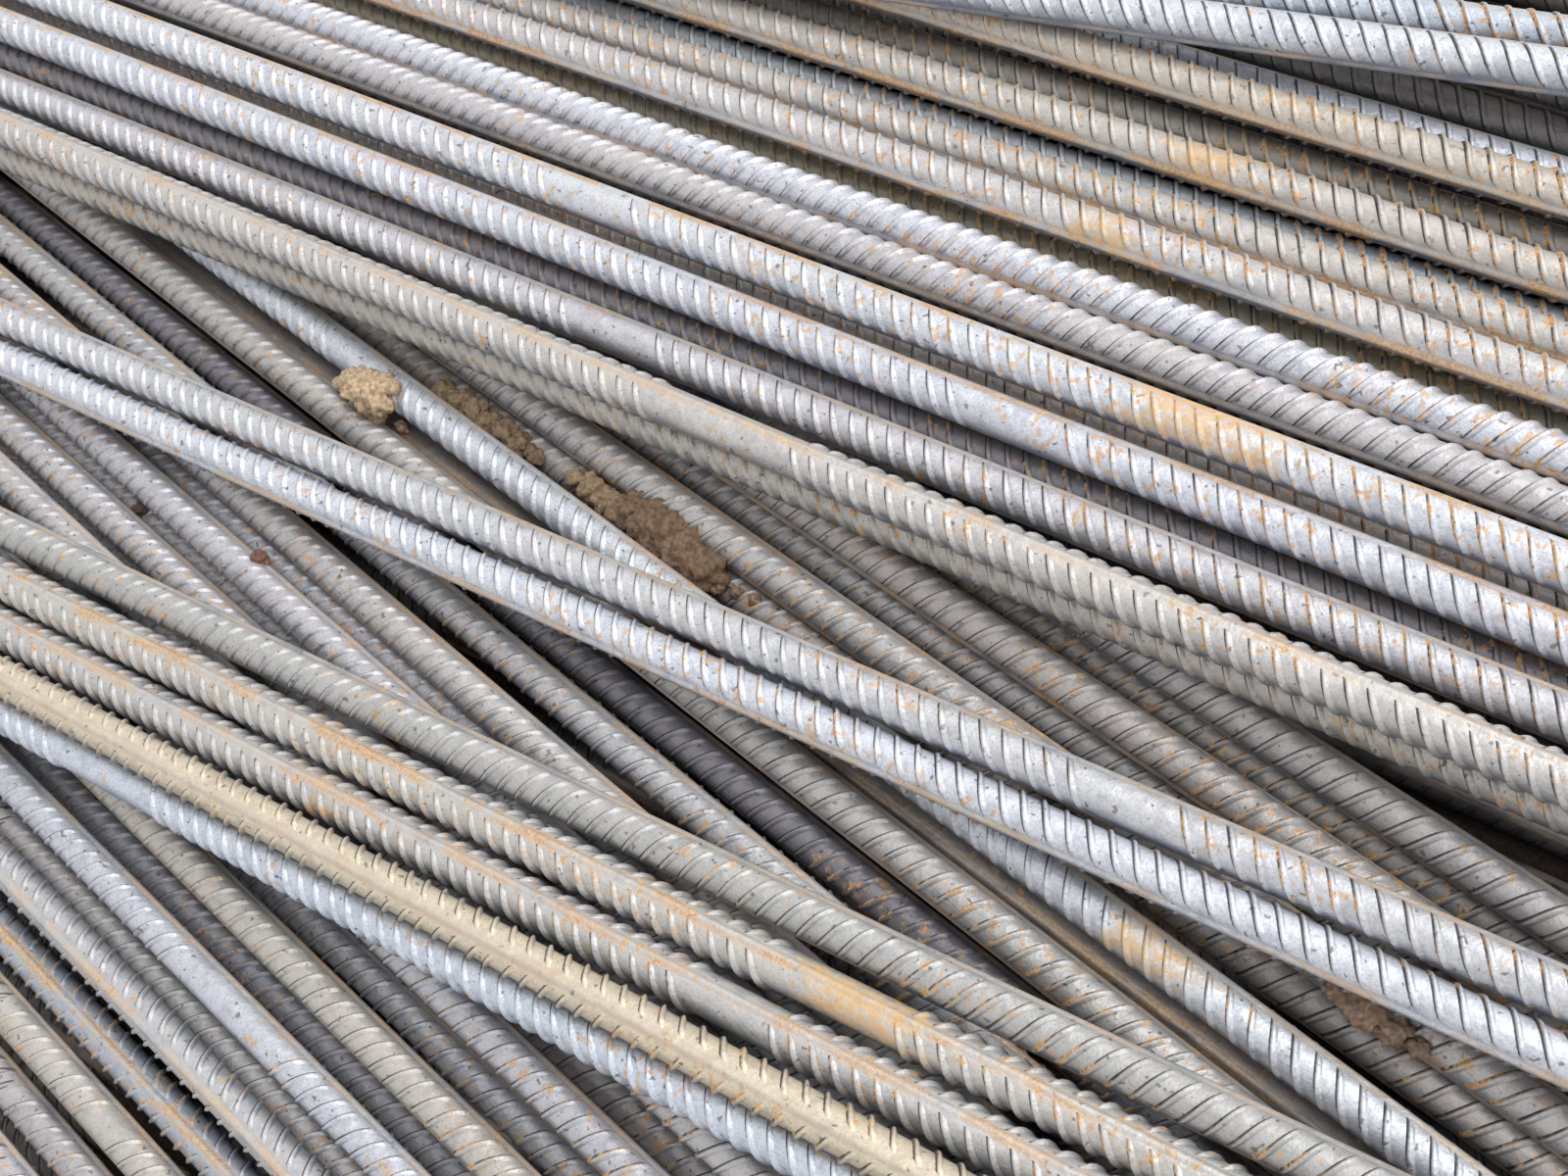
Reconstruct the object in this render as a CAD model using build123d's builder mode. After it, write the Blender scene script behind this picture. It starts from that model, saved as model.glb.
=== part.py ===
from build123d import *
import os
from math import hypot

import numpy as np
from scipy.optimize import linprog

os.makedirs("parts", exist_ok=True)

# A heap of reinforcing bars, dropped in two directions that cross at a small angle. X runs along
# the heap, Y across it and Z up. The origin is on the ground, under the middle of the heap. The
# rolled ribs are fine relief and are not part of these solids.

# Driving dimensions, in millimetres
bar_length = 6000        # stock length
bar_diameter = 25        # nominal size of the section
lying_gap = 0.3          # clearance between a bar and the bars that it lies on
station = 300            # the two cross-lines, this far each side of the heap's middle
ragged_ends = 90         # most that a bar's ends stand out of line with the heap's
ground_pitch = 34        # spacing of the bars that lie on the ground
front_edge = -740        # the nearest of them
bottom_bars = 39         # how many of them there are
buried_bars = 7          # bars of the second course, which only the back of the heap has
set_back = 3.5           # ground pitches from the last ground bar to the last of that course
step = 10                # spacing of the places where a bar is tested for contact

reach = bar_diameter + lying_gap
radius = bar_diameter / 2
back_edge = front_edge + (bottom_bars - 1) * ground_pitch

# How far bars stick out at one end, as shares of ragged_ends, taken in turn
ragged = [0.1, -0.5, 0.8, 0.3, -0.8, 1, -0.1, 0.6, -1]

# Where each bar crosses the left and the right cross-line, in millimetres across the heap. The
# groups are listed from the ground up, as the bars would be laid down.
crossings = {
    "bottom_course": [
        (front_edge + lane * ground_pitch, front_edge + lane * ground_pitch)
        for lane in range(bottom_bars)
    ],
    "second_course": [
        (back_edge - (lane + set_back) * ground_pitch, back_edge - (lane + set_back) * ground_pitch)
        for lane in range(buried_bars)
    ],
    "slant_bars_low": [
        (-512, -602),
        (-451, -539),
        (-390, -474),
        (-341, -423),
        (-297, -382),
        (-249, -338),
        (-197, -291),
        (-159, -255),
        (-126, -224),
        (-92, -192),
        (-17, -117),
        (26, -71),
        (67, -26),
        (113, 18),
        (153, 58),
    ],
    "slant_bars_near": [
        (-480, -571),
        (-419, -505),
        (-355, -440),
        (-313, -400),
        (-268, -359),
    ],
    "slant_bars_front": [
        (-215, -311),
        (-169, -269),
        (-141, -241),
        (-107, -209),
    ],
    "slant_bars_middle": [
        (-71, -175),
        (-41, -144),
        (10, -91),
        (45, -54),
    ],
    "slant_bars_back": [
        (88, -7),
        (129, 34),
        (167, 72),
    ],
    "middle_bar_low": [
        (53, 62),
    ],
    "front_bar_low": [
        (-288, -256),
    ],
    "back_bars_low": [
        (119, 121),
        (158, 159),
        (187, 186),
        (250, 248),
        (307, 304),
        (352, 349),
        (391, 384),
        (418, 412),
        (443, 437),
    ],
    "middle_bars": [
        (95, 101),
        (62, 68),
        (-54, -30),
        (-81, -57),
    ],
    "front_bars": [
        (-269, -237),
        (-242, -209),
        (-214, -180),
        (-184, -150),
    ],
    "back_bars": [
        (133, 137),
        (164, 167),
        (198, 200),
        (224, 226),
        (259, 259),
        (286, 286),
        (325, 323),
        (371, 365),
    ],
    "askew_bars": [
        (303, 398),
        (329, 426),
    ],
}


def settle(first, last, middle, slant, laid):
    """Heights of both ends of a bar, let down on the ground and on the bars that lie there."""
    x = np.linspace(first, last, round(bar_length / step))
    along = (x - first) / (last - first)
    floor = np.full(len(x), radius)
    for other_first, other_last, other_middle, other_slant, other_ends in laid:
        apart = np.abs(middle - other_middle + (slant - other_slant) * x) / hypot(1, other_slant)
        rise = (other_ends[1] - other_ends[0]) / (other_last - other_first)
        top = other_ends[0] + rise * (x - other_first)
        top = top + np.sqrt(np.clip(reach**2 - apart**2, 0, None))
        touching = (x >= other_first) & (x <= other_last) & (apart < reach)
        floor = np.where(touching, np.maximum(floor, top), floor)
    # Of all heights that clear the floor, a bar takes those that put its own middle lowest.
    rest = linprog(
        [1, 1],
        A_ub=-np.stack([1 - along, along], axis=1),
        b_ub=-floor,
        bounds=[(radius, None)] * 2,
    )
    return rest.x


# The bars are laid one after another, and each comes to rest on those below it.
laid = []
placed = {}
for name, pairs in crossings.items():
    placed[name] = []
    for left, right in pairs:
        slant = (right - left) / (2 * station)
        middle = (left + right) / 2
        half = bar_length / 2 / hypot(1, slant)
        shift = ragged_ends * ragged[len(laid) % len(ragged)]
        first, last = shift - half, shift + half
        laid.append((first, last, middle, slant, settle(first, last, middle, slant, laid)))
        placed[name].append(laid[-1])

# The heap is shifted sideways, so that its middle is over the origin.
sides = [
    middle + slant * x
    for first, last, middle, slant, ends in laid
    for x in (first, last)
]
centre = (min(sides) + max(sides)) / 2

# Each bar starts on a plane that is square to it, at its left end.
starts = {}
for name, bars in placed.items():
    starts[name] = [
        Plane(
            origin=(first, middle + slant * first - centre, ends[0]),
            z_dir=(last - first, slant * (last - first), ends[1] - ends[0]),
        )
        for first, last, middle, slant, ends in bars
    ]

with BuildPart() as bottom_course:
    with BuildSketch(*starts["bottom_course"]):
        Circle(radius)
    extrude(amount=bar_length)
bottom_course.part.label = "bottom_course"
export_step(bottom_course.part, "parts/bottom_course.step")

with BuildPart() as second_course:
    with BuildSketch(*starts["second_course"]):
        Circle(radius)
    extrude(amount=bar_length)
second_course.part.label = "second_course"
export_step(second_course.part, "parts/second_course.step")

with BuildPart() as slant_bars_low:
    with BuildSketch(*starts["slant_bars_low"]):
        Circle(radius)
    extrude(amount=bar_length)
slant_bars_low.part.label = "slant_bars_low"
export_step(slant_bars_low.part, "parts/slant_bars_low.step")

with BuildPart() as slant_bars_near:
    with BuildSketch(*starts["slant_bars_near"]):
        Circle(radius)
    extrude(amount=bar_length)
slant_bars_near.part.label = "slant_bars_near"
export_step(slant_bars_near.part, "parts/slant_bars_near.step")

with BuildPart() as slant_bars_front:
    with BuildSketch(*starts["slant_bars_front"]):
        Circle(radius)
    extrude(amount=bar_length)
slant_bars_front.part.label = "slant_bars_front"
export_step(slant_bars_front.part, "parts/slant_bars_front.step")

with BuildPart() as slant_bars_middle:
    with BuildSketch(*starts["slant_bars_middle"]):
        Circle(radius)
    extrude(amount=bar_length)
slant_bars_middle.part.label = "slant_bars_middle"
export_step(slant_bars_middle.part, "parts/slant_bars_middle.step")

with BuildPart() as slant_bars_back:
    with BuildSketch(*starts["slant_bars_back"]):
        Circle(radius)
    extrude(amount=bar_length)
slant_bars_back.part.label = "slant_bars_back"
export_step(slant_bars_back.part, "parts/slant_bars_back.step")

with BuildPart() as middle_bar_low:
    with BuildSketch(*starts["middle_bar_low"]):
        Circle(radius)
    extrude(amount=bar_length)
middle_bar_low.part.label = "middle_bar_low"
export_step(middle_bar_low.part, "parts/middle_bar_low.step")

with BuildPart() as front_bar_low:
    with BuildSketch(*starts["front_bar_low"]):
        Circle(radius)
    extrude(amount=bar_length)
front_bar_low.part.label = "front_bar_low"
export_step(front_bar_low.part, "parts/front_bar_low.step")

with BuildPart() as back_bars_low:
    with BuildSketch(*starts["back_bars_low"]):
        Circle(radius)
    extrude(amount=bar_length)
back_bars_low.part.label = "back_bars_low"
export_step(back_bars_low.part, "parts/back_bars_low.step")

with BuildPart() as middle_bars:
    with BuildSketch(*starts["middle_bars"]):
        Circle(radius)
    extrude(amount=bar_length)
middle_bars.part.label = "middle_bars"
export_step(middle_bars.part, "parts/middle_bars.step")

with BuildPart() as front_bars:
    with BuildSketch(*starts["front_bars"]):
        Circle(radius)
    extrude(amount=bar_length)
front_bars.part.label = "front_bars"
export_step(front_bars.part, "parts/front_bars.step")

with BuildPart() as back_bars:
    with BuildSketch(*starts["back_bars"]):
        Circle(radius)
    extrude(amount=bar_length)
back_bars.part.label = "back_bars"
export_step(back_bars.part, "parts/back_bars.step")

with BuildPart() as askew_bars:
    with BuildSketch(*starts["askew_bars"]):
        Circle(radius)
    extrude(amount=bar_length)
askew_bars.part.label = "askew_bars"
export_step(askew_bars.part, "parts/askew_bars.step")
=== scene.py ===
import math
import random

import bmesh
import bpy
import mathutils.noise
from mathutils import Matrix, Vector


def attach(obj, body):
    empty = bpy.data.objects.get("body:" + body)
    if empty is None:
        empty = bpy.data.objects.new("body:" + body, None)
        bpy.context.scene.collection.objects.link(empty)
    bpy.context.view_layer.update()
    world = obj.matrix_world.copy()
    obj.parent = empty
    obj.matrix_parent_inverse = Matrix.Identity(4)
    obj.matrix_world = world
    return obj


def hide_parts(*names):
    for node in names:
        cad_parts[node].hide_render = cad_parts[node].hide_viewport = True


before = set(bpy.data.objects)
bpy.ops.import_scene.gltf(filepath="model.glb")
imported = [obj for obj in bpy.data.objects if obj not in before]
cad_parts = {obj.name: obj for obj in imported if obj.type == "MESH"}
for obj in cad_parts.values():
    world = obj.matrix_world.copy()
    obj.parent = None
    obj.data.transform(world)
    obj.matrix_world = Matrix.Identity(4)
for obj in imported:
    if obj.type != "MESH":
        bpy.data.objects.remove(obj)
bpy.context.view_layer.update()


# Bars on the ground
# The lowest bars lie side by side on the ground, and some more in the grooves between them at the
# back. They are hot-rolled steel of 25 mm nominal, cut to stock length, with mill scale, and their
# skins are painted a darker grey than the bars above, as shade deep in the heap.

rib_pitch = 0.0125  # metres from rib to rib, about half of the nominal size
nowhere = 9.0       # metres along X, past the end of every bar
seen_sides = 60     # facets round a bar that shows
hidden_sides = 32   # facets round a bar that is buried


def linear(code):
    """Linear colour of an sRGB hex value, with full alpha."""
    shares = [int(code[k:k + 2], 16) / 255 for k in (1, 3, 5)]
    return [c / 12.92 if c <= 0.04045 else ((c + 0.055) / 1.055) ** 2.4 for c in shares] + [1]


def add_node(tree, kind, inputs=(), output=0, **settings):
    """Adds a node with its settings, feeds its inputs with values or sockets, and gives an output."""
    node = tree.nodes.new(kind)
    for name, value in settings.items():
        setattr(node, name, value)
    for key, value in inputs.items() if isinstance(inputs, dict) else enumerate(inputs):
        if isinstance(value, bpy.types.NodeSocket):
            tree.links.new(value, node.inputs[key])
        else:
            node.inputs[key].default_value = value
    return node.outputs[output] if node.outputs else None


def bar_axes(node):
    """Both ends of the axis of every bar in a CAD node, from the nearest bar to the farthest."""
    mesh = bmesh.new()
    mesh.from_mesh(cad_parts[node].data)
    bmesh.ops.remove_doubles(mesh, verts=mesh.verts, dist=0.00001)
    axes = []
    waiting = dict.fromkeys(mesh.verts)  # a set would give them in another order in every run
    while waiting:
        bar = [waiting.popitem()[0]]
        for corner in bar:
            for edge in corner.link_edges:
                other = edge.other_vert(corner)
                if other in waiting:
                    del waiting[other]
                    bar.append(other)
        middle = sum((v.co for v in bar), Vector()) / len(bar)
        left = [v.co for v in bar if v.co.x < middle.x]
        right = [v.co for v in bar if v.co.x > middle.x]
        axes.append((sum(left, Vector()) / len(left), sum(right, Vector()) / len(right)))
    mesh.free()
    return sorted(axes, key=lambda ends: (ends[0] + ends[1]).y)


def rolled_bar_tree():
    """Geometry Nodes that turn a guide, one edge for each bar, into bars with rolled ribs."""
    tree = bpy.data.node_groups.new("rolled_bar", "GeometryNodeTree")
    face = tree.interface
    face.new_socket("Guide", in_out="INPUT", socket_type="NodeSocketGeometry")

    # Metres, apart from the reach, in radians each way round the core, the lean, in metres along
    # the bar for each metre round it, and the inset of the crest, in half widths of the rib.
    sizes = {
        "Core Radius": 0.0115,
        "Length": 6.0,
        "Seam Height": 0.001,
        "Seam Top": 0.0013,
        "Seam Foot": 0.0024,
        "Rib Pitch": rib_pitch,
        "Rib Height": 0.0025,
        "Rib Width": 0.0054,
        "Rib Lean": 0.6,
        "Rib Reach": 1.3,
        "Rib Root": 0.0003,
        "Crest Inset": 0.14,
    }
    counts = {"Core Sides": seen_sides, "Core Lengths": 15}
    for name, value in sizes.items():
        face.new_socket(name, in_out="INPUT", socket_type="NodeSocketFloat").default_value = value
    for name, value in counts.items():
        face.new_socket(name, in_out="INPUT", socket_type="NodeSocketInt").default_value = value
    face.new_socket("Steel", in_out="INPUT", socket_type="NodeSocketMaterial")
    face.new_socket("Bars", in_out="OUTPUT", socket_type="NodeSocketGeometry")
    given = tree.nodes.new("NodeGroupInput").outputs
    place = add_node(tree, "GeometryNodeInputPosition")
    x = add_node(tree, "ShaderNodeSeparateXYZ", [place], "X")
    y = add_node(tree, "ShaderNodeSeparateXYZ", [place], "Y")
    size_y = add_node(tree, "ShaderNodeMath", [y], operation="ABSOLUTE")

    # The core stands on its end along Z. Its two lengthwise seams are where Y is near zero.
    cylinder = add_node(
        tree,
        "GeometryNodeMeshCylinder",
        {
            "Vertices": given["Core Sides"],
            "Side Segments": given["Core Lengths"],
            "Radius": given["Core Radius"],
            "Depth": given["Length"],
        },
        fill_type="NGON",
    )
    half_length = add_node(tree, "ShaderNodeMath", [given["Length"], 0.5], operation="MULTIPLY")
    lift = add_node(tree, "ShaderNodeCombineXYZ", {"Z": half_length})
    lifted = add_node(tree, "GeometryNodeTransform", {"Geometry": cylinder, "Translation": lift})
    on_seam = add_node(
        tree, "ShaderNodeMapRange", [size_y, given["Seam Top"], given["Seam Foot"], 1.0, 0.0]
    )
    proud = add_node(tree, "ShaderNodeMath", [on_seam, given["Seam Height"]], operation="MULTIPLY")
    swell = add_node(tree, "ShaderNodeMath", [proud, given["Core Radius"]], operation="DIVIDE")
    from_axis = add_node(tree, "ShaderNodeCombineXYZ", [x, y])
    outward = add_node(tree, "ShaderNodeVectorMath", {0: from_axis, "Scale": swell}, operation="SCALE")
    seamed = add_node(tree, "GeometryNodeSetPosition", {"Geometry": lifted, "Offset": outward})
    normal = add_node(tree, "GeometryNodeInputNormal")
    normal_z = add_node(tree, "ShaderNodeSeparateXYZ", [normal], "Z")
    endwise = add_node(tree, "ShaderNodeMath", [normal_z], operation="ABSOLUTE")
    on_side = add_node(tree, "ShaderNodeMath", [endwise, 0.5], operation="LESS_THAN")
    rounded = add_node(
        tree, "GeometryNodeSetShadeSmooth", {"Geometry": seamed, "Shade Smooth": on_side}
    )
    core = add_node(
        tree,
        "GeometryNodeStoreNamedAttribute",
        {"Geometry": rounded, "Name": "girth", "Value": place},
        data_type="FLOAT_VECTOR",
        domain="POINT",
    )

    # One rib is a grid, X round the core from end to end of the rib and Y across the rib. Its two
    # middle rows are the crest, which bows up from the core and sinks back at both ends.
    grid = add_node(
        tree,
        "GeometryNodeMeshGrid",
        {"Size X": 2.0, "Size Y": 2.0, "Vertices X": 11, "Vertices Y": 4},
    )
    crest = add_node(tree, "ShaderNodeMath", [size_y, 0.5], operation="LESS_THAN")
    x_squared = add_node(tree, "ShaderNodeMath", [x, x], operation="MULTIPLY")
    below_one = add_node(tree, "ShaderNodeMath", [1.0, x_squared], operation="SUBTRACT")
    bow = add_node(tree, "ShaderNodeMath", [below_one], operation="SQRT")
    crest_bow = add_node(tree, "ShaderNodeMath", [bow, crest], operation="MULTIPLY")
    rise = add_node(tree, "ShaderNodeMath", [crest_bow, given["Rib Height"]], operation="MULTIPLY")
    rooted = add_node(tree, "ShaderNodeMath", [rise, given["Rib Root"]], operation="SUBTRACT")
    radius = add_node(tree, "ShaderNodeMath", [given["Core Radius"], rooted], operation="ADD")
    girdle = add_node(tree, "ShaderNodeMath", [x, given["Rib Reach"]], operation="MULTIPLY")
    angle = add_node(tree, "ShaderNodeMath", [girdle, math.pi / 2], operation="ADD")
    cosine = add_node(tree, "ShaderNodeMath", [angle], operation="COSINE")
    sine = add_node(tree, "ShaderNodeMath", [angle], operation="SINE")
    rib_x = add_node(tree, "ShaderNodeMath", [radius, cosine], operation="MULTIPLY")
    rib_y = add_node(tree, "ShaderNodeMath", [radius, sine], operation="MULTIPLY")
    round_core = add_node(
        tree, "ShaderNodeMath", [girdle, given["Core Radius"]], operation="MULTIPLY"
    )
    lean = add_node(tree, "ShaderNodeMath", [round_core, given["Rib Lean"]], operation="MULTIPLY")
    inset = add_node(tree, "ShaderNodeMath", [crest, given["Crest Inset"]], operation="MULTIPLY")
    row = add_node(tree, "ShaderNodeMath", [size_y, inset], operation="SUBTRACT")
    flank = add_node(tree, "ShaderNodeMath", [y], operation="SIGN")
    row_side = add_node(tree, "ShaderNodeMath", [row, flank], operation="MULTIPLY")
    half_width = add_node(tree, "ShaderNodeMath", [given["Rib Width"], 0.5], operation="MULTIPLY")
    across = add_node(tree, "ShaderNodeMath", [row_side, half_width], operation="MULTIPLY")
    rib_z = add_node(tree, "ShaderNodeMath", [lean, across], operation="ADD")
    bent = add_node(tree, "ShaderNodeCombineXYZ", [rib_x, rib_y, rib_z])

    # The foot on the left flank is marked, for the rust that gathers there and for the painted shade
    # that the steel lays there.
    left = add_node(tree, "ShaderNodeMath", [y, 0.0], operation="LESS_THAN")
    off_crest = add_node(tree, "ShaderNodeMath", [1.0, crest], operation="SUBTRACT")
    left_foot = add_node(tree, "ShaderNodeMath", [off_crest, left], operation="MULTIPLY")
    marked = add_node(
        tree,
        "GeometryNodeStoreNamedAttribute",
        {"Geometry": grid, "Name": "foot", "Value": left_foot},
        data_type="FLOAT",
        domain="POINT",
    )
    crescent = add_node(tree, "GeometryNodeSetPosition", {"Geometry": marked, "Position": bent})
    smooth = add_node(
        tree, "GeometryNodeSetShadeSmooth", {"Geometry": crescent, "Shade Smooth": True}
    )

    # The other side of the bar has the same rib, mirrored and half a pitch further on.
    facing = add_node(tree, "GeometryNodeFlipFaces", [smooth])
    half_pitch = add_node(tree, "ShaderNodeMath", [given["Rib Pitch"], 0.5], operation="MULTIPLY")
    further = add_node(tree, "ShaderNodeCombineXYZ", {"Z": half_pitch})
    mirrored = add_node(
        tree,
        "GeometryNodeTransform",
        {"Geometry": smooth, "Translation": further, "Scale": (1.0, -1.0, 1.0)},
    )
    pair = tree.nodes.new("GeometryNodeJoinGeometry")
    tree.links.new(facing, pair.inputs[0])
    tree.links.new(mirrored, pair.inputs[0])

    # Each bar has its own direction, and its own roll about its axis.
    way = add_node(tree, "GeometryNodeInputNamedAttribute", ["way"], data_type="FLOAT_VECTOR")
    roll = add_node(tree, "GeometryNodeInputNamedAttribute", ["roll"], data_type="FLOAT")
    aligned = add_node(tree, "FunctionNodeAlignRotationToVector", {"Vector": way}, axis="Z")
    rolled = add_node(
        tree, "FunctionNodeAxisAngleToRotation", {"Axis": (0.0, 0.0, 1.0), "Angle": roll}
    )
    turned = add_node(
        tree,
        "FunctionNodeRotateRotation",
        {"Rotation": aligned, "Rotate By": rolled},
        rotation_space="LOCAL",
    )
    starts = add_node(tree, "GeometryNodeInputNamedAttribute", ["starts"], data_type="BOOLEAN")
    cores = add_node(
        tree,
        "GeometryNodeInstanceOnPoints",
        {"Points": given["Guide"], "Selection": starts, "Instance": core, "Rotation": turned},
    )

    # Ribs stand all along the stretch that is seen from near, except where a bar is bare.
    rail = add_node(tree, "GeometryNodeMeshToCurve", [given["Guide"]])
    pitched = add_node(
        tree,
        "GeometryNodeResampleCurve",
        {"Curve": rail, "Length": given["Rib Pitch"]},
        mode="LENGTH",
    )
    slide = add_node(tree, "GeometryNodeInputNamedAttribute", ["slide"], data_type="FLOAT")
    shift = add_node(tree, "ShaderNodeVectorMath", {0: way, "Scale": slide}, operation="SCALE")
    slid = add_node(tree, "GeometryNodeSetPosition", {"Geometry": pitched, "Offset": shift})
    ribbed_from, ribbed_to, bare_middle, bare_half = (
        add_node(tree, "GeometryNodeInputNamedAttribute", [name], data_type="FLOAT")
        for name in ("ribbed_from", "ribbed_to", "bare_middle", "bare_half")
    )
    after = add_node(tree, "ShaderNodeMath", [x, ribbed_from], operation="GREATER_THAN")
    before = add_node(tree, "ShaderNodeMath", [x, ribbed_to], operation="LESS_THAN")
    near = add_node(tree, "ShaderNodeMath", [after, before], operation="MULTIPLY")
    from_bare = add_node(tree, "ShaderNodeMath", [x, bare_middle], operation="SUBTRACT")
    off_bare = add_node(tree, "ShaderNodeMath", [from_bare], operation="ABSOLUTE")
    ribbed = add_node(tree, "ShaderNodeMath", [off_bare, bare_half], operation="GREATER_THAN")
    shown = add_node(tree, "ShaderNodeMath", [near, ribbed], operation="MULTIPLY")
    uneven = add_node(
        tree,
        "FunctionNodeRandomValue",
        {0: (0.985, 0.985, 0.9), 1: (1.012, 1.012, 1.1), "Seed": 4},
        data_type="FLOAT_VECTOR",
    )
    ribs = add_node(
        tree,
        "GeometryNodeInstanceOnPoints",
        {
            "Points": slid,
            "Selection": shown,
            "Instance": pair.outputs[0],
            "Rotation": turned,
            "Scale": uneven,
        },
    )
    both = tree.nodes.new("GeometryNodeJoinGeometry")
    tree.links.new(cores, both.inputs[0])
    tree.links.new(ribs, both.inputs[0])
    real = add_node(tree, "GeometryNodeRealizeInstances", [both.outputs[0]])
    dressed = add_node(
        tree, "GeometryNodeSetMaterial", {"Geometry": real, "Material": given["Steel"]}
    )
    add_node(tree, "NodeGroupOutput", {"Bars": dressed})
    return tree


rolled_bar = rolled_bar_tree()


def mill_scale_steel():
    """Hot-rolled steel with its mill scale: a grey oxide skin with a soft sheen, rusting in spots."""
    steel = bpy.data.materials.new("hot_rolled_steel_with_mill_scale")
    steel.use_nodes = True
    tree = steel.node_tree
    shader = tree.nodes["Principled BSDF"]
    read = {}
    outputs = {
        "girth": "Vector",
        "seed": "Vector",
        "skin": "Color",
        "foot": "Fac",
        "dusting": "Fac",
        "rusting": "Fac",
        "ribbed_from": "Fac",
        "ribbed_to": "Fac",
        "stain_middle": "Fac",
        "stain_half": "Fac",
    }
    for name, output in outputs.items():
        read[name] = add_node(tree, "ShaderNodeAttribute", output=output, attribute_name=name)
    skin = read["skin"]
    girth_x, girth_y, girth_z = (
        add_node(tree, "ShaderNodeSeparateXYZ", [read["girth"]], axis) for axis in "XYZ"
    )
    normal = add_node(tree, "ShaderNodeNewGeometry", output="Normal")
    up = add_node(tree, "ShaderNodeSeparateXYZ", [normal], "Z")
    place = add_node(tree, "ShaderNodeTexCoord", output="Object")
    x_place = add_node(tree, "ShaderNodeSeparateXYZ", [place], "X")
    own = add_node(tree, "ShaderNodeVectorMath", [place, read["seed"]], operation="ADD")

    # The patterns of the surface. Each has the size of its spots in millimetres, how much longer
    # than wide they are drawn by the rolling, and how much finer detail they hold.
    patterns = {
        "fine": (1.6, 1.0, 3.0),
        "spotty": (4.5, 1.0, 1.0),
        "blotchy": (6.5, 0.7, 2.0),
        "dented": (8.0, 1.0, 1.5),
        "streaky": (12.0, 3.0, 2.0),
        "broad": (42.0, 2.0, 2.0),
    }
    noise = {}
    for name, (millimetres, stretch, detail) in patterns.items():
        scaled = add_node(
            tree, "ShaderNodeMapping", {"Vector": own, "Scale": (1 / stretch, 1.0, 1.0)}
        )
        noise[name] = add_node(
            tree,
            "ShaderNodeTexNoise",
            {"Vector": scaled, "Scale": 1000 / millimetres, "Detail": detail},
            "Fac",
        )
    streak = add_node(tree, "ShaderNodeMath", [noise["streaky"], 0.5], operation="SUBTRACT")

    # Away from the near stretch the ribs are only marked in the surface: a wave that leans like
    # them, in pitches along the bar, and fades towards the seams.
    lean_in_pitches = -0.56
    fade_rate = 1.15
    off_seam = add_node(tree, "ShaderNodeMath", [girth_y], operation="ABSOLUTE")
    minus_x = add_node(tree, "ShaderNodeMath", [girth_x, -1.0], operation="MULTIPLY")
    girdle = add_node(tree, "ShaderNodeMath", [minus_x, off_seam], operation="ARCTAN2")
    straight = add_node(tree, "ShaderNodeMath", [girth_z, 1 / rib_pitch], operation="MULTIPLY")
    leaning = add_node(
        tree, "ShaderNodeMath", [girdle, lean_in_pitches, straight], operation="MULTIPLY_ADD"
    )
    far_side = add_node(tree, "ShaderNodeMath", [girth_y, 0.0], operation="GREATER_THAN")
    pitches = add_node(tree, "ShaderNodeMath", [far_side, 0.5, leaning], operation="MULTIPLY_ADD")
    phase = add_node(tree, "ShaderNodeMath", [pitches, 2 * math.pi], operation="MULTIPLY")
    wave = add_node(tree, "ShaderNodeMath", [phase], operation="COSINE")
    crested = add_node(tree, "ShaderNodeMapRange", [wave, 0.3, 0.95])
    wider = add_node(tree, "ShaderNodeMath", [girdle, fade_rate], operation="MULTIPLY")
    from_seam = add_node(tree, "ShaderNodeMath", [wider], operation="COSINE")
    bow = add_node(tree, "ShaderNodeMapRange", [from_seam, 0.0, 0.7])
    crescent = add_node(tree, "ShaderNodeMath", [crested, bow], operation="MULTIPLY")
    left_of = add_node(tree, "ShaderNodeMath", [x_place, read["ribbed_from"]], operation="LESS_THAN")
    right_of = add_node(tree, "ShaderNodeMath", [x_place, read["ribbed_to"]], operation="GREATER_THAN")
    beyond = add_node(tree, "ShaderNodeMath", [left_of, right_of], operation="MAXIMUM")
    ridge = add_node(tree, "ShaderNodeMath", [crescent, beyond], operation="MULTIPLY")

    # Mill scale is slate blue. What faces up has a pale chalky coat, mottled and with a grain. The
    # coat follows the facing, so it is partly painted light: tops lighter, and undersides painted
    # darker slate as shade. In each mix of colours, input 0 is the share, 6 the colour below and 7 the
    # colour over it.
    slate_and_painted_shade = add_node(
        tree,
        "ShaderNodeMix",
        {0: 1.0, 6: skin, 7: linear("#a8afba")},
        2,
        data_type="RGBA",
        blend_type="MULTIPLY",
    )
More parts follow.
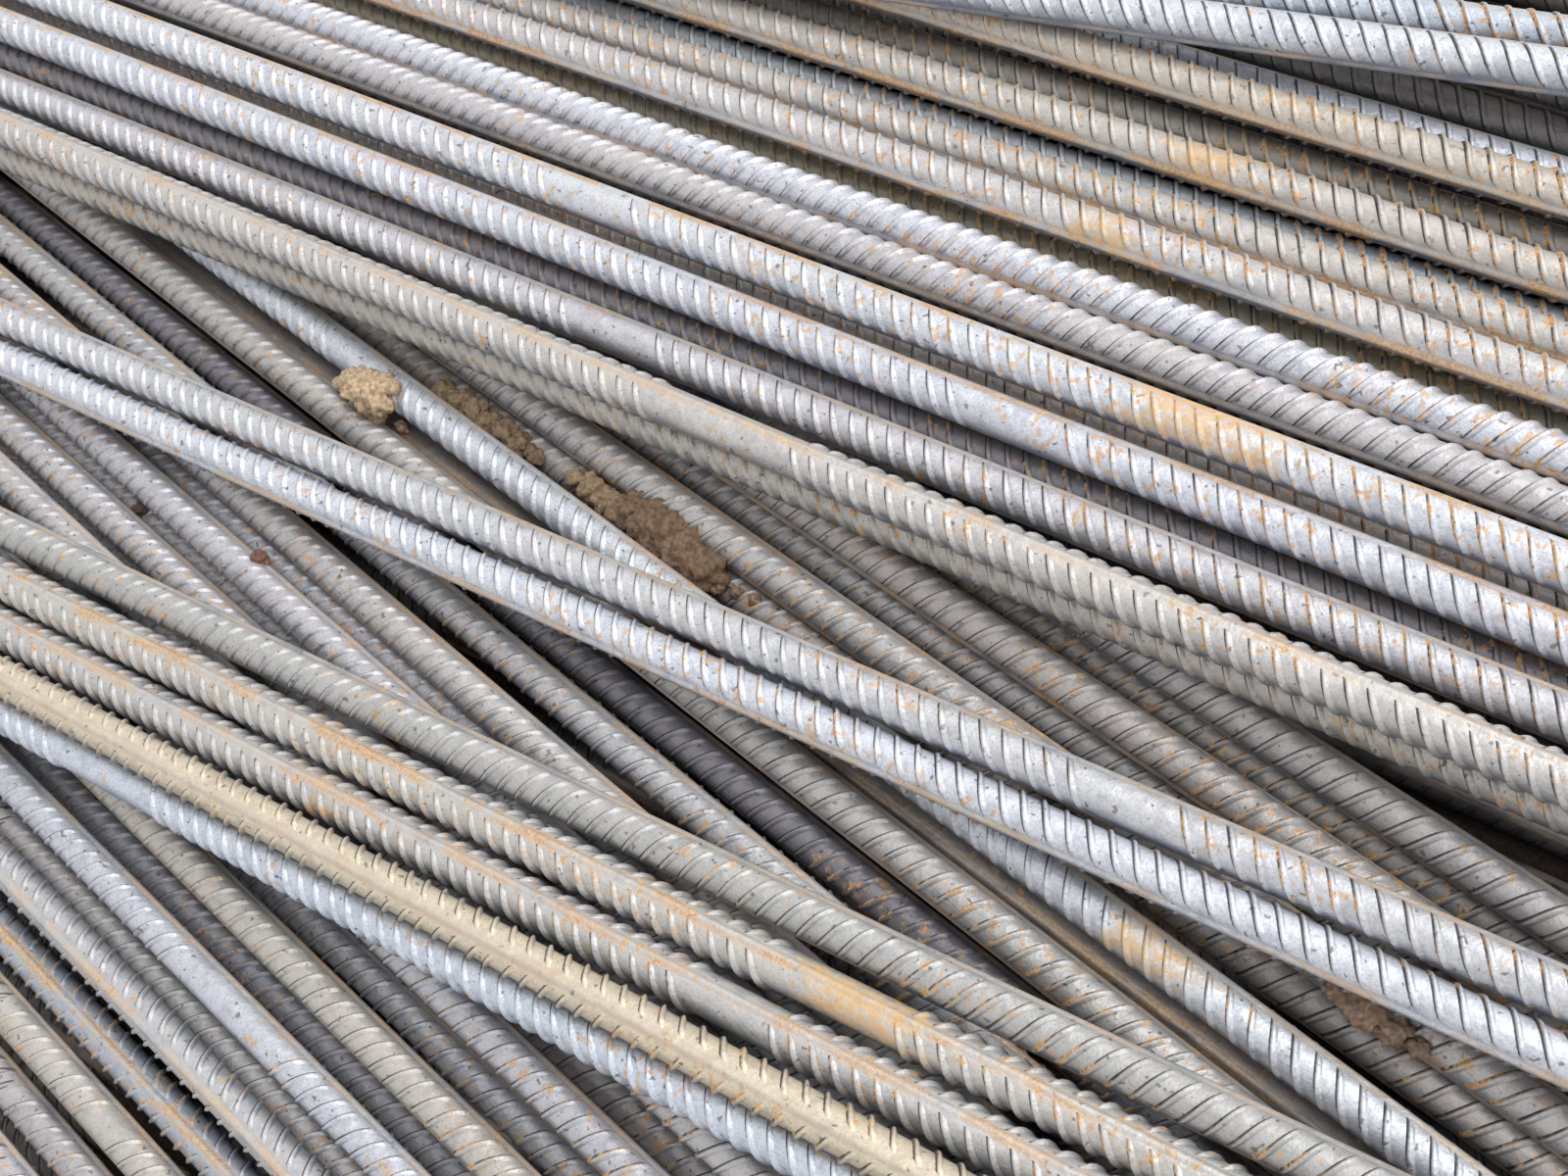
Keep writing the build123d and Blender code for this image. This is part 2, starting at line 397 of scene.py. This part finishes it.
    # Painted light and shade: the share of the pale coat rises with the facing, so tops are painted
    # light and undersides dark slate.
    uneven_up = add_node(tree, "ShaderNodeMath", [streak, 1.1, up], operation="MULTIPLY_ADD")
    coat_and_painted_light = add_node(tree, "ShaderNodeMapRange", [uneven_up, 0.02, 0.72])
    coated_and_painted_light = add_node(tree, "ShaderNodeMix", {0: coat_and_painted_light, 6: slate_and_painted_shade, 7: skin}, 2, data_type="RGBA")
    worn = add_node(tree, "ShaderNodeMapRange", [noise["dented"], 0.50, 0.72, 0.0, 0.32])
    mottled = add_node(tree, "ShaderNodeMix", {0: worn, 6: coated_and_painted_light, 7: slate_and_painted_shade}, 2, data_type="RGBA")
    grain = add_node(tree, "ShaderNodeMapRange", [noise["fine"], 0.45, 0.72, 0.0, 0.4])
    grained = add_node(
        tree, "ShaderNodeMix", {0: grain, 6: mottled, 7: linear("#8a888c")}, 2, data_type="RGBA"
    )
    specks = add_node(tree, "ShaderNodeMapRange", [noise["spotty"], 0.69, 0.74, 0.0, 0.7])
    specked = add_node(
        tree, "ShaderNodeMix", {0: specks, 6: grained, 7: linear("#4b423d")}, 2, data_type="RGBA"
    )

    # Dust has settled on what faces up, and in a broken strip along a seam. The ribs have no girth
    # of their own, and that tells them from the core.
    thin = add_node(tree, "ShaderNodeMapRange", [noise["broad"], 0.66, 0.30])
    settled = add_node(tree, "ShaderNodeMath", [thin, read["dusting"]], operation="MULTIPLY")
    facing_up = add_node(tree, "ShaderNodeMapRange", [up, -0.1, 0.75])
    on_top = add_node(tree, "ShaderNodeMath", [settled, facing_up], operation="MULTIPLY")
    dusty = add_node(
        tree, "ShaderNodeMix", {0: on_top, 6: specked, 7: linear("#d3cbc0")}, 2, data_type="RGBA"
    )
    size_x = add_node(tree, "ShaderNodeMath", [girth_x], operation="ABSOLUTE")
    girth = add_node(tree, "ShaderNodeMath", [size_x, off_seam], operation="ADD")
    on_core = add_node(tree, "ShaderNodeMath", [girth, 0.004], operation="GREATER_THAN")
    near_seam = add_node(tree, "ShaderNodeMapRange", [off_seam, 0.0042, 0.0028])
    seam = add_node(tree, "ShaderNodeMath", [near_seam, on_core], operation="MULTIPLY")
    broken = add_node(tree, "ShaderNodeMapRange", [noise["streaky"], 0.35, 0.55])
    seam_up = add_node(tree, "ShaderNodeMapRange", [up, -0.1, 0.3, 0.0, 0.75])
    lying = add_node(tree, "ShaderNodeMath", [seam_up, broken], operation="MULTIPLY")
    strip = add_node(tree, "ShaderNodeMath", [seam, lying], operation="MULTIPLY")
    stripped = add_node(
        tree, "ShaderNodeMix", {0: strip, 6: dusty, 7: linear("#d6ccc1")}, 2, data_type="RGBA"
    )

    # Painted shade with some brown dirt in the corners beside the ribs: darker at the left foot of
    # each rib and on the flanks of the ribs that are only marked, standing in for their shadow,
    # thicker in the dents.
    off_ridge = add_node(tree, "ShaderNodeMath", [1.0, ridge], operation="SUBTRACT")
    ridge_side = add_node(tree, "ShaderNodeMath", [ridge, off_ridge], operation="MULTIPLY")
    far_corner = add_node(tree, "ShaderNodeMath", [ridge_side, 2.4], operation="MULTIPLY")
    near_corner = add_node(tree, "ShaderNodeMapRange", [read["foot"], 0.02, 0.45])
    corner = add_node(tree, "ShaderNodeMath", [near_corner, far_corner], operation="MAXIMUM")
    thick = add_node(tree, "ShaderNodeMath", [noise["dented"], 0.5, 0.65], operation="MULTIPLY_ADD")
    rib_shade_and_dirt = add_node(tree, "ShaderNodeMath", [corner, thick], operation="MULTIPLY")
    rib_shaded = add_node(
        tree, "ShaderNodeMix", {0: rib_shade_and_dirt, 6: stripped, 7: linear("#3d3532")}, 2, data_type="RGBA"
    )

    # Orange rust in spots along the seams, at the feet of the ribs and in flecks on the skin.
    paler = add_node(tree, "ShaderNodeMapRange", [noise["fine"], 0.35, 0.65])
    orange = add_node(
        tree,
        "ShaderNodeMix",
        {0: paler, 6: linear("#bd8350"), 7: linear("#f0c98e")},
        2,
        data_type="RGBA",
    )
    beside_seam = add_node(tree, "ShaderNodeMapRange", [off_seam, 0.0048, 0.0034])
    seam_line = add_node(tree, "ShaderNodeMath", [beside_seam, on_core], operation="MULTIPLY")
    streaks = add_node(tree, "ShaderNodeMapRange", [noise["streaky"], 0.46, 0.58, 0.0, 0.5])
    seam_spots = add_node(tree, "ShaderNodeMath", [streaks, read["rusting"]], operation="MULTIPLY")
    seam_rust = add_node(tree, "ShaderNodeMath", [seam_line, seam_spots], operation="MULTIPLY")
    seamed = add_node(
        tree, "ShaderNodeMix", {0: seam_rust, 6: rib_shaded, 7: orange}, 2, data_type="RGBA"
    )
    threshold = add_node(
        tree, "ShaderNodeMath", [read["rusting"], -0.16, 0.60], operation="MULTIPLY_ADD"
    )
    above = add_node(tree, "ShaderNodeMath", [noise["broad"], threshold], operation="SUBTRACT")
    patches = add_node(tree, "ShaderNodeMapRange", [above, 0.0, 0.05])
    blots = add_node(tree, "ShaderNodeMapRange", [noise["blotchy"], 0.43, 0.50])
    spots = add_node(tree, "ShaderNodeMath", [blots, patches], operation="MULTIPLY")
    at_foot = add_node(tree, "ShaderNodeMapRange", [read["foot"], 0.05, 0.3])
    drips = add_node(tree, "ShaderNodeMath", [spots, at_foot], operation="MULTIPLY")
    dots = add_node(tree, "ShaderNodeMapRange", [noise["blotchy"], 0.58, 0.66, 0.0, 0.65])
    flecks = add_node(tree, "ShaderNodeMath", [dots, patches], operation="MULTIPLY")
    rust = add_node(tree, "ShaderNodeMath", [drips, flecks], operation="MAXIMUM")
    rusty = add_node(tree, "ShaderNodeMix", {0: rust, 6: seamed, 7: orange}, 2, data_type="RGBA")

    # An ochre stain, where a bar has one: a frayed, blotchy patch on its upper side.
    from_stain = add_node(
        tree, "ShaderNodeMath", [x_place, read["stain_middle"]], operation="SUBTRACT"
    )
    off_stain = add_node(tree, "ShaderNodeMath", [from_stain], operation="ABSOLUTE")
    frayed = add_node(tree, "ShaderNodeMath", [streak, 0.12, off_stain], operation="MULTIPLY_ADD")
    inside = add_node(tree, "ShaderNodeMath", [read["stain_half"], frayed], operation="SUBTRACT")
    soaked = add_node(tree, "ShaderNodeMapRange", [inside, 0.0, 0.02])
    above_stain = add_node(tree, "ShaderNodeMapRange", [up, 0.1, 0.6])
    wet = add_node(tree, "ShaderNodeMath", [soaked, above_stain], operation="MULTIPLY")
    blotches = add_node(tree, "ShaderNodeMapRange", [noise["spotty"], 0.38, 0.56, 0.3, 0.75])
    ochre = add_node(tree, "ShaderNodeMath", [wet, blotches], operation="MULTIPLY")
    stained = add_node(
        tree, "ShaderNodeMix", {0: ochre, 6: rusty, 7: linear("#e6c08a")}, 2, data_type="RGBA"
    )
    tree.links.new(stained, shader.inputs["Base Color"])

    # The scale is an oxide, only half metallic. Dust, rust and stains take its sheen away.
    rust_or_stain = add_node(tree, "ShaderNodeMath", [rust, ochre], operation="MAXIMUM")
    matt = add_node(tree, "ShaderNodeMath", [on_top, rust_or_stain], operation="MAXIMUM")
    roughness = add_node(tree, "ShaderNodeMath", [matt, 0.36, 0.44], operation="MULTIPLY_ADD")
    tree.links.new(roughness, shader.inputs["Roughness"])
    shader.inputs["Metallic"].default_value = 0.45

    # Relief, in metres: the pits of the scale, shallow dents, and the ribs far from the eye.
    pits = add_node(
        tree, "ShaderNodeBump", {"Strength": 0.55, "Distance": 0.0006, "Height": noise["fine"]}
    )
    dents = add_node(
        tree,
        "ShaderNodeBump",
        {"Strength": 0.7, "Distance": 0.0014, "Height": noise["dented"], "Normal": pits},
    )
    far_ribs = add_node(
        tree,
        "ShaderNodeBump",
        {"Strength": 1.0, "Distance": 0.0018, "Height": ridge, "Normal": dents},
    )
    tree.links.new(far_ribs, shader.inputs["Normal"])
    return steel


steel = mill_scale_steel()

# The edges of the patch of the heap that is seen from near: left, right, front and back. A point
# is on the patch where a * x + b * y is more than c, in metres.
patch_edges = ((1.0, 0.931, -0.50), (-1.0, -0.431, -0.74), (-0.569, 1.0, -0.47), (0.2975, -1.0, -0.50))


def near_stretch(left, right):
    """The stretch of a bar, as X from and to, on the patch of the heap that is seen from near."""
    way = right - left
    first, last = 0.0, 1.0
    for a, b, c in patch_edges:
        start = a * left.x + b * left.y - c
        change = a * way.x + b * way.y
        if change > 0:
            first = max(first, -start / change)
        else:
            last = min(last, -start / change)
    if first >= last:
        return nowhere, nowhere
    return left.x + way.x * first, left.x + way.x * last


def roll_bars(node, looks, ribbed=True, bare=None, stains=None):
    """Rolled bars on the axes of a CAD node, which they replace.

    The looks are taken in turn: roll in degrees, colour of the skin, and shares of rust and dust.
    A bar's number gives a bare length or a stain, as its middle along X and half its length.
    """
    axes = bar_axes(node)
    guide = bpy.data.meshes.new(node + "_guide")
    ends = [end for axis in axes for end in axis]
    guide.from_pydata(ends, [(2 * k, 2 * k + 1) for k in range(len(axes))], [])
    guide.attributes.new("starts", "BOOLEAN", "POINT")
    for k, (left, right) in enumerate(axes):
        roll, skin, rust, dust = looks[k % len(looks)]
        bare_middle, bare_half = (bare or {}).get(k, (nowhere, 0.0))
        stain_middle, stain_half = (stains or {}).get(k, (nowhere, 0.01))
        ribbed_from, ribbed_to = near_stretch(left, right) if ribbed else (nowhere, nowhere)
        vectors = {
            "way": (right - left).normalized(),
            "seed": (3.7 * k, 1.3 * roll, 0.9 * len(node)),
        }
        colours = {"skin": linear(skin)}
        values = {
            "roll": math.radians(roll),
            "slide": rib_pitch * ((0.37 * k + 0.0031 * roll) % 1),
            "bare_middle": bare_middle,
            "bare_half": bare_half,
            "stain_middle": stain_middle,
            "stain_half": stain_half,
            "ribbed_from": ribbed_from,
            "ribbed_to": ribbed_to,
            "rusting": rust,
            "dusting": dust,
        }
        kinds = (
            ("FLOAT_VECTOR", "vector", vectors),
            ("FLOAT_COLOR", "color", colours),
            ("FLOAT", "value", values),
        )
        for kind, field, group in kinds:
            for name, value in group.items():
                if name not in guide.attributes:
                    guide.attributes.new(name, kind, "POINT")
                for end in (2 * k, 2 * k + 1):
                    setattr(guide.attributes[name].data[end], field, value)
        guide.attributes["starts"].data[2 * k].value = True
    carrier = bpy.data.objects.new(node + "_carrier", guide)
    bpy.context.scene.collection.objects.link(carrier)
    maker = carrier.modifiers.new("rolled_bar", "NODES")
    maker.node_group = rolled_bar
    sockets = {item.name: item.identifier for item in rolled_bar.interface.items_tree}
    maker[sockets["Length"]] = (axes[0][1] - axes[0][0]).length
    maker[sockets["Core Sides"]] = seen_sides if ribbed else hidden_sides
    maker[sockets["Steel"]] = steel
    made = carrier.evaluated_get(bpy.context.evaluated_depsgraph_get())
    mesh = bpy.data.meshes.new_from_object(made)
    mesh.name = node + "_ribbed"
    piece = bpy.data.objects.new(node + "_ribbed", mesh)
    bpy.context.scene.collection.objects.link(piece)
    bpy.data.objects.remove(carrier)

    # A rib can't go below the ground that its bar lies on.
    for corner in mesh.vertices:
        corner.co.z = max(corner.co.z, 0.0)
    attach(piece, "root")
    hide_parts(node)


# Dark grey skins for the bars deep in the heap: painted shade.
hidden_looks = [(20, "#747173", 0.3, 0.3), (75, "#686467", 0.5, 0.3), (130, "#716d6b", 0.2, 0.4)]
roll_bars("bottom_course", hidden_looks, ribbed=False)
roll_bars("second_course", hidden_looks, ribbed=False)


# Slanting bars
# These bars were dropped a little askew, so they cross under the bars of the main direction. The
# same rolled bars as on the ground, a few with a seam up, and with skins painted darker the deeper
# they lie, as painted shade.
roll_bars("slant_bars_low", [
    (-80, "#c2bfc5", 0.4, 0.24),
    (-95, "#bab8bb", 0.5, 0.3),
    (-20, "#b9c0cb", 1.0, 0.06),
    (-85, "#c8c6c7", 0.5, 0.3),
    (-100, "#9d9ea5", 0.4, 0.18),
    (-75, "#c9cad0", 0.4, 0.18),
    (-90, "#b6b3b3", 0.6, 0.3),
    (-85, "#c7c5c7", 0.5, 0.3),
    (-100, "#cccbd0", 0.4, 0.24),
    (-80, "#c7c8ce", 0.7, 0.18),
    # This bar's skin is painted dark grey as shade, for the deep gap in which it lies.
    (-88, "#8e8c93", 0.5, 0.05),
    (12, "#978e89", 1.0, 0.18),
    (-85, "#c3bdb8", 0.6, 0.36),
    (-95, "#b8b6b7", 0.7, 0.3),
    (-80, "#a5a29e", 0.7, 0.3),
], bare={11: (0.0, 0.7)})
roll_bars("slant_bars_near", [
    (-90, "#c9c8cc", 0.5, 0.24),
    (-100, "#ccc8c0", 0.7, 0.42),
    (12, "#c7c8cb", 0.6, 0.24),
    (-85, "#d5d9e2", 0.4, 0.18),
    (-95, "#ccc7bf", 0.7, 0.36),
], bare={1: (-0.045, 0.015), 3: (0.0, 0.05)})
roll_bars("slant_bars_front", [
    (-85, "#cbcbd1", 0.5, 0.18),
    (-78, "#cac8c9", 0.4, 0.3),
    (-95, "#cccacd", 0.6, 0.24),
    (-85, "#d0cfd5", 0.5, 0.24),
])
roll_bars("slant_bars_middle", [
    (-88, "#ccc9c9", 0.8, 0.3),
    (-72, "#cacace", 0.7, 0.24),
    (-95, "#cac8c5", 0.6, 0.36),
    (105, "#e3e8ef", 0.5, 0.12),
], bare={3: (-0.165, 0.035)}, stains={3: (0.462, 0.028)})
roll_bars("slant_bars_back", [
    (-85, "#c8c6c5", 1.0, 0.3),
    (-98, "#bfbab6", 1.0, 0.3),
    (-80, "#bcbabb", 0.6, 0.3),
])


# Low bars of the main direction
# Two single bars that show only under and between the upper ones. The middle one is dusty with a
# rust line along its seam, the front one is clean and bluish.
roll_bars("middle_bar_low", [(128, "#cdc8c0", 0.96, 0.38)])
roll_bars("front_bar_low", [(130, "#dce3ee", 0.48, 0.08)], bare={0: (-0.14, 0.04)})


# Back bars, lower layer
# The lower layer at the back, seen in the grooves between the upper bars. More rust reaches it, and
# its skins are painted darker as shade: some of these bars are brown or olive, two are dark grey, and
# one is as bright as the upper layer.
roll_bars("back_bars_low", [
    (110, "#8a888e", 0.6, 0.15),
    (120, "#bfb9b5", 1.2, 0.15),
    (20, "#756b64", 1.08, 0.22),
    (100, "#a8a087", 1.2, 0.3),
    (75, "#9da5ac", 0.48, 0.15),
    (100, "#98938b", 0.96, 0.3),
    (110, "#dde3ee", 0.48, 0.15),
    (90, "#666466", 0.36, 0.22),
    (100, "#5e5d5f", 0.36, 0.22),
])


# Middle bars
# Two pairs of bars across the middle of the heap, over the slanting bars. The near pair is the
# brighter. All but the nearest bar are bare of ribs for a short length.
roll_bars("middle_bars", [
    (72, "#e2e6ef", 0.6, 0.15),
    (112, "#dadbdf", 0.6, 0.2),
    (152, "#d4d1ce", 0.6, 0.35),
    (115, "#d8d7dc", 0.6, 0.2),
], bare={1: (0.43, 0.03), 2: (0.13, 0.05), 3: (0.02, 0.03)})


# Front bars
# Four bars in a band along the front. The nearest has a coat of sandy dust and a seam up, the
# next two are smooth on top with rusty ribs below, and the last is plain and dusty.
roll_bars("front_bars", [
    (8, "#e8d8bd", 0.48, 0.38),
    (158, "#cccbca", 0.84, 0.3),
    (160, "#d0ceca", 1.2, 0.38),
    (-72, "#c2c2c0", 0.36, 0.25),
], bare={1: (0.30, 0.03), 2: (0.345, 0.035)}, stains={1: (0.01, 0.015), 2: (0.36, 0.035)})


# Back bars, upper layer
# Eight bars side by side at the back, from bright and clean to tan with dust. Three have an ochre
# stain, and the ribs of the third and fourth lean the other way.
roll_bars("back_bars", [
    (128, "#e1e4ee", 0.84, 0.22),
    (122, "#e5e8ef", 1.08, 0.22),
    (-102, "#d0ced2", 0.36, 0.38),
    (-100, "#e4e6ef", 0.72, 0.15),
    (75, "#d9d7d8", 1.2, 0.3),
    (70, "#cccac7", 1.2, 0.45),
    (75, "#d0ccc6", 1.2, 0.45),
    (78, "#d6cdc0", 0.84, 0.6),
], bare={
    0: (0.28, 0.03),
    1: (-0.035, 0.035),
}, stains={
    1: (0.37, 0.05),
    4: (0.265, 0.025),
    6: (0.30, 0.03),
})


# Askew bars
# Two bars lie across the back ones at a small angle, the last to be dropped. They are clean, with
# a cold blue sheen.
roll_bars("askew_bars", [
    (120, "#e4e8ef", 0.48, 0.08),
    (110, "#cad2dc", 0.6, 0.08),
])

# Earth on the heap
# Dry loam that was trodden in between the lowest bars, and clods of it that fell on the slanting
# bars: a pale one, a crumbly row in a groove and a darker lump at its end.

loam_grain = 2.857  # millimetres, the crumbs that show in its surface


def dry_loam():
    """Dry loam: dull and crumbly, each crumb lighter or darker than the next."""
    loam = bpy.data.materials.new("dry_loam")
    loam.use_nodes = True
    tree = loam.node_tree
    shader = tree.nodes["Principled BSDF"]
    place = add_node(tree, "ShaderNodeTexCoord", output="Object")
    crumbs = add_node(
        tree,
        "ShaderNodeTexNoise",
        {"Vector": place, "Scale": 1000 / loam_grain, "Detail": 6.0},
        "Fac",
    )
    shade = add_node(tree, "ShaderNodeMapRange", [crumbs, 0.35, 0.65, 0.55, 1.1])
    own = add_node(tree, "ShaderNodeAttribute", output="Color", attribute_name="skin")
    tint = add_node(tree, "ShaderNodeVectorMath", {0: own, "Scale": shade}, operation="SCALE")
    rough = add_node(
        tree, "ShaderNodeBump", {"Strength": 0.8, "Distance": 0.0015, "Height": crumbs}
    )
    tree.links.new(tint, shader.inputs["Base Color"])
    tree.links.new(rough, shader.inputs["Normal"])
    shader.inputs["Roughness"].default_value = 0.95
    return loam


loam = dry_loam()


def lay_loam(name, mesh):
    """Makes a finished mesh of loam a piece beside a CAD node."""
    shape = bpy.data.meshes.new(name)
    mesh.to_mesh(shape)
    mesh.free()
    shape.materials.append(loam)
    piece = bpy.data.objects.new(name, shape)
    bpy.context.scene.collection.objects.link(piece)
    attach(piece, "root")
    return shape


def earth_between_ground_bars():
    """A low bank of loam in each gap between two bars on the ground, uneven along its length."""
    first_x = -2.9  # metres
    spacing = 0.1
    rows_each = 59
    height = 0.0045
    unevenness = 0.003
    section = ((-0.010, 0.0), (-0.006, 0.7), (0.0, 1.0), (0.006, 0.7), (0.010, 0.0))
    mesh = bmesh.new()
    tones = mesh.verts.layers.float_color.new("skin")
    axes = bar_axes("bottom_course")
    for (left, _), (beside, _) in zip(axes, axes[1:]):
        middle = (left.y + beside.y) / 2
        rows = []
        for k in range(rows_each):
            x = first_x + spacing * k
            high = height + unevenness * mathutils.noise.noise(Vector((x * 4, middle * 60, 0)))
            row = [mesh.verts.new((x, middle + across, share * high)) for across, share in section]
            for corner in row:
                corner[tones] = linear("#4e4238")
            if rows:
                for a, b, c, d in zip(rows[-1], rows[-1][1:], row[1:], row):
                    mesh.faces.new((a, b, c, d))
                mesh.faces.new((rows[-1][-1], rows[-1][0], row[0], row[-1]))
            rows.append(row)
        mesh.faces.new(rows[0])
        mesh.faces.new(rows[-1][::-1])
    bmesh.ops.recalc_face_normals(mesh, faces=mesh.faces)
    lay_loam("earth_between_ground_bars", mesh)


def row_of_lumps(first, last, radii, first_tone, last_tone):
    """Lumps spaced evenly between two places, in millimetres, shading from one colour to another."""
    lumps = []
    for k, radius in enumerate(radii):
        share = k / max(1, len(radii) - 1)
        place = Vector(first).lerp(Vector(last), share)
        tone = Vector(linear(first_tone)).lerp(Vector(linear(last_tone)), share)
        lumps.append((place / 1000, radius / 1000, tone))
    return lumps


def clods(name, lumps):
    """One piece of rough lumps, each with small crumbs fallen around it."""
    crumbs_each = 7
    knob = 0.00625  # metres, the size of the knobs on a lump
    knobbliness = 0.4
    flatness = 0.9
    chance = random.Random(name)
    balls = []
    for place, radius, tone in lumps:
        balls.append((place, radius, tone, 4))
        for _ in range(crumbs_each):
            away = radius * chance.uniform(0.6, 1.15)
            turn = chance.uniform(0, 2 * math.pi)
            rise = chance.uniform(-0.003, 0.004)
            beside = Vector((away * math.cos(turn), 0.7 * away * math.sin(turn), rise))
            balls.append((place + beside, radius * chance.uniform(0.25, 0.5), tone, 3))
    mesh = bmesh.new()
    tones = mesh.verts.layers.float_color.new("skin")
    for place, radius, tone, fineness in balls:
        ball = bmesh.ops.create_icosphere(mesh, subdivisions=fineness, radius=radius)
        for corner in ball["verts"]:
            swelling = mathutils.noise.fractal((corner.co + place) / knob, 0.8, 2.1, 5)
            corner.co = corner.co * (1 + knobbliness * swelling)
            corner.co.z *= flatness
            corner.co += place
            corner[tones] = tone
    shape = lay_loam(name, mesh)
    for face in shape.polygons:
        face.use_smooth = True


earth_between_ground_bars()
clods(
    "clods_in_the_groove",
    row_of_lumps((-166, 78, 86), (-136, 77, 92), (9, 13, 13), "#d6bb9a", "#d8bc9b")
    + row_of_lumps((-140, 71, 80), (-128, 70, 66), (9, 4), "#c9ad8c", "#debba1")
    + row_of_lumps((-111, 102, 69), (-22, 88, 68), (8, 9, 10, 9, 9, 9, 6), "#b39b7b", "#9b836a")
    + row_of_lumps((13, 87, 69), (54, 79, 69), (6, 9, 9, 10), "#b29a78", "#9f866c")
    + row_of_lumps((66, 84, 71), (125, 69, 71), (13, 16, 17, 17, 14), "#8a725c", "#886f5a")
    + row_of_lumps((137, 65, 67), (163, 66, 66), (6, 4, 4), "#937b65", "#99816c")
    + row_of_lumps((-276, -57, 67), (-276, -57, 67), (5,), "#7a6352", "#7a6352"),
)
clods(
    "clods_at_the_right",
    row_of_lumps((553, 14, 91), (596, 7, 79), (8, 11, 9, 5), "#937a67", "#957d6a")
    + row_of_lumps((-151, -51, 84), (-151, -51, 84), (6,), "#886654", "#886654"),
)


# Floor, light and camera
# A plain pale studio floor, a large softbox above and behind the heap, and the camera at the
# photograph's place and angle.

# Matt floor paint: pale, without a reflection, so that only the heap's shadow shows on it.
paint = bpy.data.materials.new("matt_floor_paint")
paint.use_nodes = True
paint_shader = paint.node_tree.nodes["Principled BSDF"]
paint_shader.inputs["Base Color"].default_value = linear("#d6d4d0")
paint_shader.inputs["Roughness"].default_value = 0.8
half_floor = 20  # metres
corners = [(x * half_floor, y * half_floor, 0) for x, y in ((-1, -1), (1, -1), (1, 1), (-1, 1))]
floor_mesh = bpy.data.meshes.new("floor")
floor_mesh.from_pydata(corners, [], [(0, 1, 2, 3)])
floor_mesh.materials.append(paint)
floor = bpy.data.objects.new("floor", floor_mesh)
bpy.context.scene.collection.objects.link(floor)

world = bpy.data.worlds.new("studio")
world.use_nodes = True
world.node_tree.nodes["Background"].inputs["Color"].default_value = (0.97, 0.98, 1.0, 1)
world.node_tree.nodes["Background"].inputs["Strength"].default_value = 0.78
bpy.context.scene.world = world

softbox_side = 11  # metres
softbox_place = (4.5, 6.4, 10.1)
lamp = bpy.data.lights.new("softbox", "AREA")
lamp.shape = "RECTANGLE"
lamp.size = softbox_side
lamp.size_y = softbox_side
lamp.energy = 1180
softbox = bpy.data.objects.new("softbox", lamp)
softbox.location = softbox_place
softbox.rotation_euler = (-softbox.location).to_track_quat("-Z", "Y").to_euler()
bpy.context.scene.collection.objects.link(softbox)

# The camera's place and its three axes, worked out from the vanishing points of the bars.
camera_place = (0.7022, -0.12865, 1.048)
camera_right = (0.8026, 0.5008, -0.3240)
camera_up = (-0.3743, 0.8458, 0.3803)
camera_back = (0.4645, -0.1840, 0.8663)
turn = Matrix((camera_right, camera_up, camera_back)).transposed().to_4x4()
lens = bpy.data.cameras.new("photo_view")
lens.lens = 45
lens.clip_end = 100
camera = bpy.data.objects.new("photo_view", lens)
camera.matrix_world = Matrix.Translation(camera_place) @ turn
bpy.context.scene.collection.objects.link(camera)
bpy.context.scene.camera = camera
bpy.context.scene.view_settings.view_transform = "Standard"
